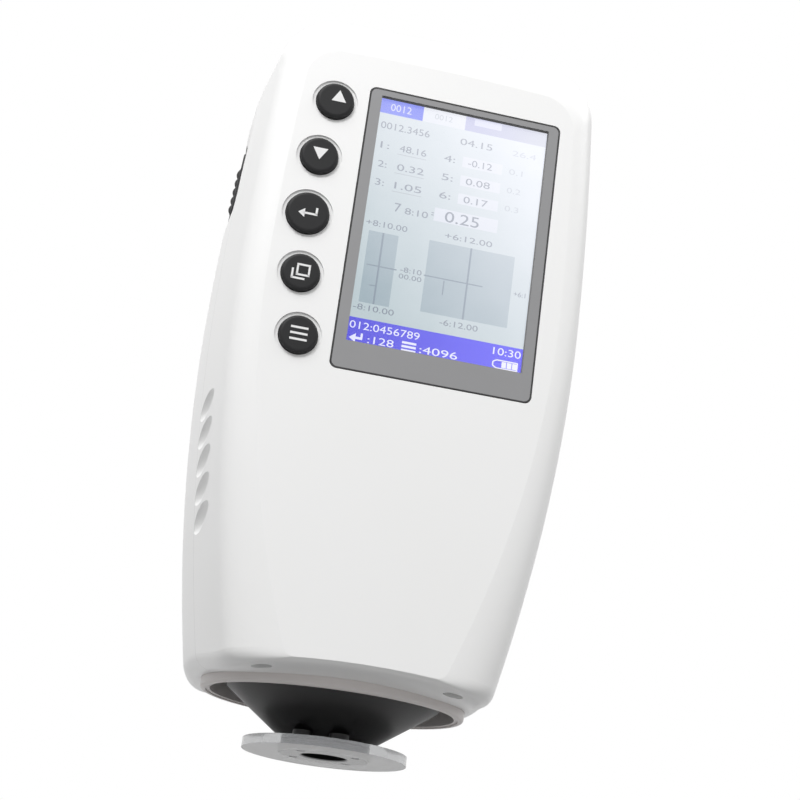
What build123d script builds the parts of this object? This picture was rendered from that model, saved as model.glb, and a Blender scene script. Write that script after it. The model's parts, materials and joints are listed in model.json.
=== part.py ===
import os
from collections import namedtuple
from math import cos, radians, sin, sqrt

from build123d import *

# Portable colorimeter, in millimetres. The origin is the centre of the measuring
# aperture on the plane that the foot disc rests on: +X right, +Y back, +Z up.

# Stance: the front face leans forward over the measuring nose
lean = 3.6
front_foot = -50.0

# Housing outlines: half widths at the lowest edge, the widest level and the top edge,
# the levels of the underside and of the crown at the middle, how far the lowest edge
# hangs below the middle, and the corner radii at the foot and at the top
Outline = namedtuple("Outline", "low wide high underside crown drop foot_corner top_corner")
wide_level = 122.0
underside = 17.7
crown = 203.0
crown_radius = 640.0
flat_front = Outline(20.5, 41.0, 38.5, 17.9, 187.0, 0.9, 3.0, 10.0)
front_wall = Outline(35.6, 48.8, 45.6, 16.5, crown - 2.5, 3.0, 4.5, 16.0)
seam_wall = Outline(39.9, 52.0, 47.9, underside, crown - 0.7, 2.0, 5.0, 17.0)
widest_wall = Outline(41.6, 53.2, 48.6, underside, crown, 1.4, 5.5, 17.0)
back_wall = Outline(40.0, 51.8, 46.6, underside, crown - 1.0, 1.0, 6.0, 17.0)
flat_back = Outline(28.0, 38.5, 35.0, 19.5, 193.0, 0.5, 6.0, 12.0)
round_steps = (0.0, 0.134, 0.5, 1.0)
front_round = 10.0
seam_depth = 33.0
widest_depth = 52.0
back_round = 14.0
housing_depth = 86.0
wall = 2.6

# Display
window_x = 7.3
window_level = 135.6
window_width = 55.6
window_height = 83.6
window_corner = 2.0
window_thickness = 1.4
window_gap = 0.2
window_tape = 0.15
display_width = 48.96
display_height = 73.44
display_shift = (0.1, 3.1)
opening_margin = 1.0
panel_margin = 1.4
panel_thickness = 1.8
gasket_thickness = 0.6
gasket_width = 1.6
frame_rim = 1.3
frame_floor = 1.2
fit_gap = 0.1

# Keys, from the top: a column bent along a large arc
key_names = ("key_up", "key_down", "key_enter", "key_back", "key_menu")
key_radii = (5.25, 5.25, 5.9, 5.25, 5.25)
key_column_x = -32.6
key_pitch = 17.4
key_arc_radius = 227.0
key_gap = 0.2
key_seat_rim = 0.95
key_seat_depth = 0.45
key_height = 1.2
key_edge = 0.9
key_flange = 0.7
key_flange_thickness = 0.9
key_stem_radius = 1.6
key_travel = 0.8
dome_radius = 3.0
dome_height = 0.35
key_board_depth = 8.5
key_board_thickness = 1.2
key_board_left = -41.5
key_board_right = -23.5
key_board_end = 5.5
board_corner = 1.5
key_post_radius = 1.6

# Side test button, on the left
button_level = 165.0
button_y = -4.5
button_face_x = -50.2
button_tilt = 3.1
button_length = 31.0
button_width = 17.6
bezel_rim = 1.8
bezel_depth = 4.6
button_gap = 0.2
button_proud = 0.9
button_travel = 1.2
button_flange = 1.4
button_flange_thickness = 1.2
button_edge = 0.8
end_flat = 1.0
rib_count = 5
rib_pitch = 3.2
rib_radius = 0.8
rib_shift = 3.2
rib_inset = 1.6
switch_size = (3.5, 6.0, 6.0)
switch_plunger = 1.7
plunger_height = 1.0
switch_clearance = 0.2
switch_board_size = (1.6, 12.0, 18.0)
switch_rib_thickness = 2.4
switch_rib_margin = 2.0
switch_rib_reach = 40.0

# Grip flutes on the front shell, on both sides: spindles sunk into the wall
flute_count = 5
flute_pitch = 7.9
flute_first_level = 54.0
flute_behind = 25.2
flute_radius = 4.2
flute_depth = 1.2
flute_length = 15.8
flute_slope = 0.2

# Skirt ring and nose
ring_y = -3.4
ring_outer = (37.4, 30.4)
ring_inner = (34.7, 27.7)
ring_lip = 13.8
ring_seat = 20.6
ring_flange = (39.3, 30.9)
ring_flange_thickness = 2.0
ring_edge = 0.9
ring_step = 1.1
ring_step_height = 0.4
ring_land = 4.0
disc_radius = 23.2
disc_thickness = 2.6
hub_radius = 12.5
hub_neck_radius = 8.8
aperture_radius = 6.45
aperture_chamfer = 0.4
hub_bite = 0.5
nose_foot_radius = 13.1
nose_foot_level = 4.2
nose_rim = (30.2, 24.3)
nose_rim_level = 15.8
nose_rim_height = 1.4
nose_neck = (28.2, 22.3)
nose_flange_thickness = 2.0
nose_boss_circle = 13.6
nose_boss_radius = 2.8
nose_boss_top = 5.0
nose_boss_start = 233.0
nose_boss_span = 43.0
part_gap = 0.1

# Integrating sphere and the optics on it
sphere_radius = 20.0
sphere_wall = 2.4
sphere_level = 26.7
sphere_flange = 24.0
sphere_flange_thickness = 2.0
sphere_port_radius = 6.9
viewing_angle = 8.0
lamp_angle = 25.0
collar_radius = 8.0
collar_reach = 25.0
tube_radius = 6.0
tube_bore = 4.5
tube_reach = 45.0
tube_flange = 9.0
tube_flange_thickness = 2.0
lens_seat = 5.0
lens_thickness = 2.0
lens_edge = 0.6
lamp_reach = 38.0
lamp_wall = 4.0
lamp_collar_thickness = 2.4
lamp_rim = 8.5
lamp_rim_thickness = 1.6
sensor_board_size = 24.0
sensor_board_thickness = 1.6
detector_size = (5.0, 4.0, 1.2)
carrier_thickness = 2.0
carrier_rim = (39.0, 30.7)
carrier_corner = 3.6

# Screws
foot_screw_place = (25.2, -42.7)
foot_screw_head = 2.4
foot_screw_shank = 1.45
foot_screw_well = 2.7
foot_post_radius = 4.6
foot_screw_seat = 20.0
screw_head = 2.6
screw_head_height = 2.0
screw_shank = 1.2
screw_bite = 9.0
screw_play = 0.25
pilot_play = 0.05
well_radius = 2.8
well_wall = 1.4
well_floor = 8.0
front_post_radius = 3.6
post_places = ((-26.0, 188.0), (26.0, 188.0), (-27.0, 59.0), (27.0, 59.0))
sphere_screw_rim = 0.7
sphere_screw_head = 1.0
hub_screw_circle = 10.8
hub_screw_head = 1.25
hub_screw_depth = 1.0
hub_screw_sunk = 0.2
hub_screw_count = 4

# Main board
main_board_depth = 14.0
main_board_thickness = 1.6
main_board_half = 39.0
main_board_levels = (79.0, 183.4)
board_post_radius = 2.4
board_post_x = 35.5
board_post_inset = 3.2
board_hole = 1.2
chip_size = (16.0, 16.0, 1.4)
chip_places = ((-16.0, 12.0), (14.0, -20.0))
shield_size = (24.0, 18.0, 2.6)
shield_place = (18.0, 24.0)
connector_size = (22.0, 5.0, 4.0)
connector_inset = 6.0

# Battery, on the back
battery_size = (56.0, 88.0, 14.0)
battery_level = 128.0
battery_gap = 0.5
battery_corner = 2.0
bay_wall = 1.6
cover_margin = 4.0
cover_thickness = 2.2
cover_gap = 0.2
cover_corner = 5.0
grip_size = (22.0, 1.4)
grip_count = 5
grip_pitch = 3.0
grip_depth = 0.6
grip_inset = 12.0
contact_size = (5.0, 3.0, 0.4)
contact_pitch = 12.0
contact_inset = 5.0

# Power switch and USB socket, on the right
socket_y = -3.0
side_block = (11.0, 13.0, 16.0)
usb_level = 100.0
usb_size = (8.0, 3.4, 9.0)
usb_wall = 0.4
usb_corner = 0.8
usb_mouth = 6.5
usb_tongue = (5.0, 1.1, 6.4)
power_level = 128.0
power_size = (6.0, 5.0, 12.0)
power_sunk = 0.2
power_floor = 2.0
slider_size = (2.6, 4.0)
slider_proud = 1.6
slider_edge = 0.4
slider_travel = 3.0
slider_gap = 0.1
side_face_x = 52.3


def behind(depth):
    # plane parallel to the front face: local x to the right, local y up the face
    y = front_foot + depth * cos(radians(lean))
    z = depth * sin(radians(lean))
    tilt = radians(lean)
    return Plane(origin=(0, y, z), x_dir=(1, 0, 0), z_dir=(0, -cos(tilt), -sin(tilt)))


def up(level, depth=0.0):
    # height of a level above the resting plane, measured up the plane at this depth
    tilt = radians(lean)
    return (level - depth * sin(tilt)) / cos(tilt)


def between(start, end, share):
    # outline part of the way from one outline to another
    return Outline(*(a + (b - a) * share for a, b in zip(start, end)))


def grown(size, margin):
    # a width and a height, each larger by this much
    return size[0] + margin, size[1] + margin


def rounding(share):
    # how far a quarter round still stands back from its wall, this share of its depth from the face
    return 1 - sqrt(1 - (1 - share) ** 2)


def draw_outline(depth, shape, inset):
    # closed outline of the housing, symmetrical about the middle plane
    low, wide, high = shape.low - inset, shape.wide - inset, shape.high - inset
    low_edge = up(shape.underside - shape.drop + inset, depth)
    high_edge = up(shape.crown - high ** 2 / (2 * crown_radius) - inset, depth)
    middle = up(wide_level, depth)
    with BuildSketch(behind(depth)) as outline:
        with BuildLine():
            TangentArc((wide, middle), (low, low_edge), tangent=(0, -1))
            ThreePointArc((low, low_edge), (0, up(shape.underside + inset, depth)), (-low, low_edge))
            TangentArc((-wide, middle), (-low, low_edge), tangent=(0, -1))
            TangentArc((-wide, middle), (-high, high_edge), tangent=(0, 1))
            ThreePointArc((-high, high_edge), (0, up(shape.crown - inset, depth)), (high, high_edge))
            TangentArc((wide, middle), (high, high_edge), tangent=(0, 1))
        make_face()
        fillet(outline.vertices().sort_by(Axis.Y)[:2], shape.foot_corner - inset / 2)
        fillet(outline.vertices().sort_by(Axis.Y)[-2:], shape.top_corner - inset)
    return outline.sketch


def housing_form(inset):
    # the closed form of the housing, drawn this far inside its outer skin
    stations = [(step * front_round, between(front_wall, flat_front, rounding(step)))
                for step in round_steps]
    stations += [(seam_depth, seam_wall), (widest_depth, widest_wall)]
    stations += [(housing_depth - step * back_round, between(back_wall, flat_back, rounding(step)))
                 for step in reversed(round_steps)]
    squeeze = (housing_depth - 2 * inset) / housing_depth
    with BuildPart() as form:
        for depth, shape in stations:
            add(draw_outline(inset + depth * squeeze, shape, inset))
        loft()
    return form.part


def key_place(index):
    # centre of a key on the front plane
    rise = (2 - index) * key_pitch
    return key_column_x + rise ** 2 / (2 * key_arc_radius), up(window_level) + rise


def slab(plane, places, draw, amount, mode):
    # one profile, drawn at several places of a plane and extruded
    with BuildSketch(plane) as profile:
        with Locations(*places):
            draw()
    extrude(profile.sketch, amount=amount, mode=mode)


def oval_prism(axes, low, high, mode=Mode.ADD):
    # upright oval prism round the centre of the skirt ring
    with BuildSketch(Plane.XY.offset(low)) as oval:
        with Locations((0, ring_y)):
            Ellipse(*axes)
    extrude(oval.sketch, amount=high - low, mode=mode)


def upright(radius, low, high, mode=Mode.ADD):
    # round prism on the axis of the aperture
    with BuildSketch(Plane.XY.offset(low)) as circle:
        Circle(radius)
    extrude(circle.sketch, amount=high - low, mode=mode)


def along(axis_plane, radius, start, end, mode=Mode.ADD):
    # round prism on the local z axis of a plane
    with BuildSketch(axis_plane.offset(start)) as circle:
        Circle(radius)
    extrude(circle.sketch, amount=end - start, mode=mode)


def socket_plane(level):
    # right wall: local x to the back, local y up, local z out
    return Plane(origin=(side_face_x, socket_y, level), x_dir=(0, 1, 0), z_dir=(1, 0, 0))


def block(side_plane, start, size, reach, mode=Mode.ADD, corner=0.0):
    # prism through a side wall: size is its width and its height, with rounded corners if asked
    with BuildSketch(side_plane.offset(start)) as outline:
        if corner:
            RectangleRounded(*size, corner)
        else:
            Rectangle(*size)
    extrude(outline.sketch, amount=reach, mode=mode)


def wall_half_width(level, shape):
    # half width of an outline at a level below its widest one
    drop = wide_level - shape.underside
    return shape.wide - (shape.wide - shape.low) * ((wide_level - level) / drop) ** 2


def flute_plane(level, side):
    # middle of a grip flute, with its local z forward and up along the wall
    run = seam_depth - front_round
    shape = between(front_wall, seam_wall, (flute_behind - front_round) / run)
    x = side * (wall_half_width(level, shape) + flute_radius - flute_depth)
    y = front_foot + flute_behind * cos(radians(lean)) - level * sin(radians(lean))
    inward = side * (wall_half_width(level, seam_wall) - wall_half_width(level, front_wall)) / run
    return Plane(origin=(x, y, level), z_dir=(-inward, -1, flute_slope))


def finish(part, name):
    part.label = name
    export_step(part, f"parts/{name}.step")


os.makedirs("parts", exist_ok=True)
standing = (Align.CENTER, Align.CENTER, Align.MIN)

window_centre = (window_x, up(window_level))
display_centre = (window_x + display_shift[0], up(window_level) + display_shift[1])
key_places = [key_place(index) for index in range(len(key_names))]
post_spots = [(x, up(level)) for x, level in post_places]
board_bottom, board_top = (up(level) for level in main_board_levels)
board_posts = [(side * board_post_x, height) for side in (-1, 1)
               for height in (board_bottom + board_post_inset, board_top - board_post_inset)]
foot_spots = [(-foot_screw_place[0], foot_screw_place[1]), foot_screw_place]
bay = [size + 2 * battery_gap for size in battery_size]
bay_floor = housing_depth - cover_thickness - fit_gap - bay[2]
bay_centre = (0, up(battery_level))
cover_size = grown(bay, 2 * cover_margin)
ring_top = ring_seat + ring_flange_thickness
nose_top = ring_top + nose_flange_thickness
hub_top = sphere_level - sphere_radius + hub_bite
tilt = radians(button_tilt)
button_plane = Plane(origin=(button_face_x, button_y, button_level), x_dir=(0, 1, 0),
                     z_dir=(cos(tilt), 0, -sin(tilt)))
flange_start = bezel_depth + part_gap
flange_back = flange_start + button_flange_thickness
switch_start = flange_back + button_travel + switch_clearance
switch_back = switch_start + switch_size[0] + switch_board_size[0]

# Hollow of the housing, with the posts, wells and seats left standing in it
with BuildPart() as hollow:
    add(housing_form(wall))
    for place, radius in zip(key_places, key_radii):
        slab(behind(wall), [place], lambda: Circle(radius + key_flange + key_gap),
             -(key_flange_thickness + key_travel), Mode.ADD)
    oval_prism(grown(ring_flange, fit_gap), ring_seat, nose_top)
    oval_prism(grown(ring_flange, ring_land), 0, ring_seat, Mode.SUBTRACT)
    slab(Plane.XY, foot_spots, lambda: Circle(foot_post_radius), nose_top, Mode.SUBTRACT)
    slab(behind(seam_depth), post_spots, lambda: Circle(front_post_radius), seam_depth, Mode.SUBTRACT)
    slab(behind(seam_depth), post_spots, lambda: Circle(well_radius + well_wall),
         -(housing_depth - seam_depth), Mode.SUBTRACT)
    slab(behind(main_board_depth), board_posts, lambda: Circle(board_post_radius),
         main_board_depth, Mode.SUBTRACT)
    key_posts = [((a[0] + b[0]) / 2, (a[1] + b[1]) / 2) for a, b in zip(key_places[0::2], key_places[1::2])]
    slab(behind(key_board_depth), key_posts, lambda: Circle(key_post_radius),
         key_board_depth, Mode.SUBTRACT)
    slab(behind(bay_floor - bay_wall), [bay_centre],
         lambda: Rectangle(*grown(bay, 2 * bay_wall)), -housing_depth, Mode.SUBTRACT)
    with BuildSketch(button_plane.offset(switch_back + part_gap)) as rib:
        with Locations((switch_rib_reach / 2, 0)):
            Rectangle(switch_rib_reach + switch_board_size[1], switch_board_size[2] - 2 * switch_rib_margin)
    extrude(rib.sketch, amount=switch_rib_thickness, mode=Mode.SUBTRACT)
    for level in (usb_level, power_level):
        block(socket_plane(level), -side_block[0], side_block[1:], 2 * side_block[0], Mode.SUBTRACT)

# Whole casing, before it is parted at the seam
with BuildPart() as casing:
    add(housing_form(0))
    add(hollow.part, mode=Mode.SUBTRACT)
    oval_prism(grown(ring_outer, fit_gap), 0, ring_seat + 1, Mode.SUBTRACT)

# Cutter of one grip flute: a slender spindle whose belly sinks into the wall
flute_bend = flute_length ** 2 / (8 * flute_depth)
flute_tip = sqrt(2 * flute_radius * flute_bend - flute_radius ** 2)
with BuildPart() as flute_cutter:
    with BuildSketch(Plane.XZ):
        with BuildLine():
            ThreePointArc((0, -flute_tip), (flute_radius, 0), (0, flute_tip))
            Line((0, flute_tip), (0, -flute_tip))
        make_face()
    revolve(axis=Axis.Z)

# Front shell: window seat, key seats, grip flutes and foot screw wells
with BuildPart() as front_shell:
    add(casing.part)
    split(bisect_by=behind(seam_depth), keep=Keep.TOP)
    slab(behind(0), [window_centre],
         lambda: RectangleRounded(*grown((window_width, window_height), 2 * window_gap), window_corner),
         -(window_thickness + window_tape), Mode.SUBTRACT)
    slab(behind(0), [display_centre],
         lambda: Rectangle(*grown((display_width, display_height), 2 * opening_margin)),
         -(wall + 1), Mode.SUBTRACT)
    for place, radius in zip(key_places, key_radii):
        with Locations(behind(0)):
            with Locations(place):
                CounterBoreHole(radius + key_gap, radius + key_gap + key_seat_rim, key_seat_depth, wall + 1)
    with Locations(behind(seam_depth)):
        with Locations(*post_spots):
            Hole(screw_shank + pilot_play, screw_bite + 1)
    slab(Plane.XY, foot_spots, lambda: Circle(foot_screw_well), foot_screw_seat, Mode.SUBTRACT)
    slab(Plane.XY, foot_spots, lambda: Circle(foot_screw_shank + screw_play), nose_top + 1, Mode.SUBTRACT)
    for step in range(flute_count):
        for side in (-1, 1):
            with Locations(flute_plane(flute_first_level + step * flute_pitch, side).location):
                add(flute_cutter.part, mode=Mode.SUBTRACT)
finish(front_shell.part, "front_shell")

# Rear shell: screw wells, battery bay, button opening and sockets
with BuildPart() as rear_shell:
    add(casing.part)
    split(bisect_by=behind(seam_depth), keep=Keep.BOTTOM)
    well_bottom = seam_depth + well_floor
    slab(behind(well_bottom), post_spots, lambda: Circle(well_radius), -housing_depth, Mode.SUBTRACT)
    slab(behind(seam_depth - 1), post_spots, lambda: Circle(screw_shank + screw_play),
         -(well_floor + 2), Mode.SUBTRACT)
    slab(behind(bay_floor), [bay_centre], lambda: Rectangle(bay[0], bay[1]), -housing_depth, Mode.SUBTRACT)
    slab(behind(housing_depth - cover_thickness - fit_gap), [bay_centre],
         lambda: RectangleRounded(*grown(cover_size, 2 * cover_gap), cover_corner),
         -housing_depth, Mode.SUBTRACT)
    block(button_plane, -2 * bezel_depth, grown((button_width, button_length), 2 * fit_gap),
          4 * bezel_depth, Mode.SUBTRACT, corner=button_width / 2 - end_flat)
    block(socket_plane(usb_level), -usb_size[0], grown(usb_size[1:], 2 * fit_gap), 2 * usb_size[0],
          Mode.SUBTRACT, corner=usb_corner)
    block(socket_plane(power_level), -power_size[0] - 1, grown(power_size[1:], 2 * fit_gap),
          2 * power_size[0], Mode.SUBTRACT)
finish(rear_shell.part, "rear_shell")

# Skirt ring, seated on the floor of the housing
with BuildPart() as base_ring:
    oval_prism(ring_outer, ring_lip, ring_seat + part_gap)
    oval_prism(ring_flange, ring_seat + part_gap, ring_top)
    oval_prism(ring_inner, 0, ring_top + 1, Mode.SUBTRACT)
    oval_prism(grown(ring_inner, ring_step), 0, ring_lip + ring_step_height, Mode.SUBTRACT)
    fillet(base_ring.faces().sort_by(Axis.Z)[0].edges().sort_by(SortBy.LENGTH)[-1], ring_edge)
finish(base_ring.part, "base_ring")

# Black nose: round at the foot, oval at the rim, hollow for the sphere
with BuildPart() as nose_cone:
    with BuildSketch(Plane.XY.offset(disc_thickness + part_gap)):
        Circle(nose_foot_radius)
    extrude(amount=nose_foot_level - disc_thickness - part_gap)
    with BuildSketch(Plane.XY.offset(nose_foot_level)):
        Circle(nose_foot_radius)
    with BuildSketch(Plane.XY.offset(nose_rim_level)):
        with Locations((0, ring_y)):
            Ellipse(*nose_rim)
    loft(ruled=True)
    oval_prism(nose_rim, nose_rim_level, nose_rim_level + nose_rim_height)
    fillet(nose_cone.edges().group_by(Axis.Z)[-1], nose_rim_height * 0.6)
    oval_prism(nose_neck, nose_rim_level, nose_top)
    oval_prism(carrier_rim, ring_top + part_gap, nose_top)
    with PolarLocations(nose_boss_circle, 2, start_angle=nose_boss_start, angular_range=2 * nose_boss_span):
        with Locations((0, 0, disc_thickness + part_gap)):
            Cylinder(nose_boss_radius, nose_boss_top - disc_thickness - part_gap, align=standing)
    with Locations((0, 0, sphere_level)):
        Sphere(sphere_radius + 4 * part_gap, mode=Mode.SUBTRACT)
    Cylinder(hub_neck_radius + part_gap, hub_top + 2, align=standing, mode=Mode.SUBTRACT)
finish(nose_cone.part, "nose_cone")

# Clear disc at the foot
with BuildPart() as locating_disc:
    with BuildSketch(Plane.XY):
        Circle(disc_radius)
        Circle(hub_radius + part_gap, mode=Mode.SUBTRACT)
    extrude(amount=disc_thickness)
finish(locating_disc.part, "locating_disc")

# Metal hub with the measuring aperture
with BuildPart() as aperture_hub:
    Cylinder(hub_radius, disc_thickness, align=standing)
    Cylinder(hub_neck_radius, hub_top, align=standing)
    Cylinder(aperture_radius, hub_top, align=standing, mode=Mode.SUBTRACT)
    mouth = aperture_hub.edges().filter_by(GeomType.CIRCLE).group_by(Axis.Z)[0].sort_by(SortBy.RADIUS)[0]
    chamfer(mouth, aperture_chamfer)
    with PolarLocations(hub_screw_circle, hub_screw_count, start_angle=45):
        Cylinder(hub_screw_head + pilot_play, hub_screw_depth, align=standing, mode=Mode.SUBTRACT)
finish(aperture_hub.part, "aperture_hub")

# Screws of the hub
with BuildPart() as hub_screws:
    with PolarLocations(hub_screw_circle, hub_screw_count, start_angle=45):
        with Locations((0, 0, hub_screw_sunk)):
            Cylinder(hub_screw_head, hub_screw_depth - hub_screw_sunk, align=standing)
finish(hub_screws.part, "hub_screws")

# Integrating sphere: two flanged halves, bored for the sample, the view and the lamp
sphere_centre = (0, 0, sphere_level)
view_tilt, lamp_tilt = radians(viewing_angle), radians(lamp_angle)
view_axis = Plane(origin=sphere_centre, z_dir=(0, sin(view_tilt), cos(view_tilt)))
lamp_axis = Plane(origin=sphere_centre, z_dir=(cos(lamp_tilt), 0, sin(lamp_tilt)))
sphere_screw_circle = (sphere_flange + sphere_radius) / 2
flange_low = nose_top + part_gap
flange_high = sphere_level + sphere_flange_thickness

with BuildPart() as sphere_lower:
    with Locations(sphere_centre):
        Sphere(sphere_radius)
    upright(sphere_flange, flange_low, sphere_level)
    with Locations(sphere_centre):
        Sphere(sphere_radius - sphere_wall, mode=Mode.SUBTRACT)
    split(bisect_by=Plane.XY.offset(sphere_level), keep=Keep.BOTTOM)
    upright(sphere_port_radius, 0, sphere_level, Mode.SUBTRACT)
    with PolarLocations(sphere_screw_circle, 4, start_angle=45):
        Cylinder(screw_shank + pilot_play, 2 * sphere_level, align=standing, mode=Mode.SUBTRACT)
finish(sphere_lower.part, "sphere_lower")

with BuildPart() as sphere_upper:
    with Locations(sphere_centre):
        Sphere(sphere_radius)
    along(view_axis, collar_radius, 0, collar_reach)
    along(lamp_axis, collar_radius, 0, collar_reach)
    split(bisect_by=Plane.XY.offset(sphere_level), keep=Keep.TOP)
    upright(sphere_flange, sphere_level, flange_high)
    with Locations(sphere_centre):
        Sphere(sphere_radius - sphere_wall, mode=Mode.SUBTRACT)
    for axis in (view_axis, lamp_axis):
        along(axis, tube_bore, 0, sphere_radius + 1, Mode.SUBTRACT)
        along(axis, tube_radius + pilot_play, sphere_radius, collar_reach + 1, Mode.SUBTRACT)
    with PolarLocations(sphere_screw_circle, 4, start_angle=45):
        Cylinder(screw_shank + pilot_play, 2 * sphere_level, align=standing, mode=Mode.SUBTRACT)
finish(sphere_upper.part, "sphere_upper")

with BuildPart() as sphere_screws:
    with PolarLocations(sphere_screw_circle, 4, start_angle=45):
        with Locations((0, 0, flange_low)):
            Cylinder(screw_shank, flange_high - flange_low, align=standing)
        with Locations((0, 0, flange_high)):
            Cylinder(screw_shank + sphere_screw_rim, sphere_screw_head, align=standing)
finish(sphere_screws.part, "sphere_screws")

with BuildPart() as viewing_tube:
    along(view_axis, tube_radius, sphere_radius + part_gap, tube_reach)
    along(view_axis, tube_flange, tube_reach - tube_flange_thickness, tube_reach)
    along(view_axis, tube_bore, 0, tube_reach + 1, Mode.SUBTRACT)
finish(viewing_tube.part, "viewing_tube")

with BuildPart() as viewing_lens:
    lens_start = collar_reach + lens_seat
    along(view_axis, tube_bore - pilot_play, lens_start, lens_start + lens_thickness)
    fillet(viewing_lens.edges().filter_by(GeomType.CIRCLE), lens_edge)
finish(viewing_lens.part, "viewing_lens")

with BuildPart() as sensor_board:
    board_seat = tube_reach + part_gap
    with BuildSketch(view_axis.offset(board_seat)):
        RectangleRounded(sensor_board_size, sensor_board_size, board_corner)
    extrude(amount=sensor_board_thickness)
    with BuildSketch(view_axis.offset(board_seat + sensor_board_thickness)):
        with GridLocations(sensor_board_size / 2, sensor_board_size / 2, 2, 2):
            Rectangle(*detector_size[:2])
    extrude(amount=detector_size[2])
finish(sensor_board.part, "sensor_board")

with BuildPart() as lamp_module:
    along(lamp_axis, tube_radius, sphere_radius + part_gap, lamp_reach)
    lamp_seat = collar_reach + part_gap
    along(lamp_axis, collar_radius, lamp_seat, lamp_seat + lamp_collar_thickness)
    along(lamp_axis, lamp_rim, lamp_reach, lamp_reach + lamp_rim_thickness)
    along(lamp_axis, tube_bore, sphere_radius, lamp_reach - lamp_wall, Mode.SUBTRACT)
finish(lamp_module.part, "lamp_module")

# Carrier plate: clamps the nose and the sphere to the seats in the housing
with BuildPart() as optics_carrier:
    with BuildSketch(Plane.XY.offset(nose_top + part_gap)):
        with Locations((0, ring_y)):
            Ellipse(*carrier_rim)
        front_edge = foot_screw_place[1] - carrier_corner
        width = 2 * (foot_screw_place[0] + carrier_corner)
        with Locations((0, front_edge / 2)):
            RectangleRounded(width, -front_edge, carrier_corner - part_gap)
        Circle(sphere_flange + part_gap, mode=Mode.SUBTRACT)
        with Locations(*foot_spots):
            Circle(foot_screw_shank + pilot_play, mode=Mode.SUBTRACT)
    extrude(amount=carrier_thickness)
finish(optics_carrier.part, "optics_carrier")

with BuildPart() as foot_screws:
    head_plane = Plane.XY.offset(foot_screw_seat - screw_head_height)
    slab(head_plane, foot_spots, lambda: Circle(foot_screw_head), screw_head_height, Mode.ADD)
    slab(Plane.XY.offset(foot_screw_seat), foot_spots, lambda: Circle(foot_screw_shank),
         nose_top + carrier_thickness - foot_screw_seat, Mode.ADD)
    slab(head_plane, foot_spots, lambda: RegularPolygon(foot_screw_head / 2, 6),
         screw_head_height / 2, Mode.SUBTRACT)
finish(foot_screws.part, "foot_screws")

# Window and display, from the front to the back
with BuildPart() as display_window:
    slab(behind(0), [window_centre],
         lambda: RectangleRounded(window_width, window_height, window_corner - window_gap),
         -window_thickness, Mode.ADD)
finish(display_window.part, "display_window")

opening = grown((display_width, display_height), 2 * opening_margin)
panel = grown((display_width, display_height), 2 * panel_margin)
gasket_back = wall + gasket_thickness
panel_back = gasket_back + panel_thickness
with BuildPart() as window_gasket:
    slab(behind(wall), [display_centre],
         lambda: Rectangle(*grown(opening, 2 * gasket_width)),
         -gasket_thickness, Mode.ADD)
    slab(behind(wall), [display_centre], lambda: Rectangle(*opening), -gasket_thickness, Mode.SUBTRACT)
finish(window_gasket.part, "window_gasket")

with BuildPart() as lcd_panel:
    slab(behind(gasket_back), [display_centre], lambda: Rectangle(*panel), -panel_thickness, Mode.ADD)
finish(lcd_panel.part, "lcd_panel")

with BuildPart() as lcd_frame:
    inner = grown(panel, 2 * fit_gap)
    depth = panel_thickness + fit_gap
    slab(behind(gasket_back), [display_centre],
         lambda: RectangleRounded(*grown(inner, 2 * frame_rim), frame_rim),
         -(depth + frame_floor), Mode.ADD)
    slab(behind(gasket_back), [display_centre], lambda: Rectangle(*inner), -depth, Mode.SUBTRACT)
    slab(behind(panel_back), [display_centre], lambda: Rectangle(inner[0] / 2, inner[1] / 2),
         -(frame_floor + 1), Mode.SUBTRACT)
finish(lcd_frame.part, "lcd_frame")

# Keys: a cap with a rounded edge, a flange that stops it and a stem over its dome
stem_end = key_board_depth - dome_height - fit_gap - key_travel
for name, place, radius in zip(key_names, key_places, key_radii):
    with BuildPart() as key:
        slab(behind(-key_height), [place], lambda: Circle(radius), -(key_height + wall + fit_gap), Mode.ADD)
        fillet(key.faces().sort_by(Axis.Y)[0].edges(), key_edge)
        slab(behind(wall + fit_gap), [place], lambda: Circle(radius + key_flange),
             -key_flange_thickness, Mode.ADD)
        slab(behind(wall + fit_gap), [place], lambda: Circle(key_stem_radius),
             -(stem_end - wall - fit_gap), Mode.ADD)
    finish(key.part, name)

with BuildPart() as key_board:
    board_low = key_places[-1][1] - key_board_end
    board_high = key_places[0][1] + key_board_end
    slab(behind(key_board_depth), [((key_board_left + key_board_right) / 2, (board_low + board_high) / 2)],
         lambda: RectangleRounded(key_board_right - key_board_left, board_high - board_low, board_corner),
         -key_board_thickness, Mode.ADD)
finish(key_board.part, "key_board")

with BuildPart() as key_domes:
    slab(behind(key_board_depth - dome_height), key_places, lambda: Circle(dome_radius),
         -dome_height, Mode.ADD)
finish(key_domes.part, "key_domes")

# Main board, on the posts of the front shell
with BuildPart() as main_board:
    board_middle = (0, (board_bottom + board_top) / 2)
    slab(behind(main_board_depth), [board_middle],
         lambda: RectangleRounded(2 * main_board_half, board_top - board_bottom, board_corner),
         -main_board_thickness, Mode.ADD)
    board_back = main_board_depth + main_board_thickness
    slab(behind(board_back), [(x, board_middle[1] + rise) for x, rise in chip_places],
         lambda: Rectangle(*chip_size[:2]), -chip_size[2], Mode.ADD)
    slab(behind(board_back), [(shield_place[0], board_middle[1] + shield_place[1])],
         lambda: Rectangle(*shield_size[:2]), -shield_size[2], Mode.ADD)
    slab(behind(board_back), [(0, board_bottom + connector_inset)],
         lambda: Rectangle(*connector_size[:2]), -connector_size[2], Mode.ADD)
    slab(behind(main_board_depth), board_posts, lambda: Circle(board_hole), -main_board_thickness,
         Mode.SUBTRACT)
finish(main_board.part, "main_board")

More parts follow.
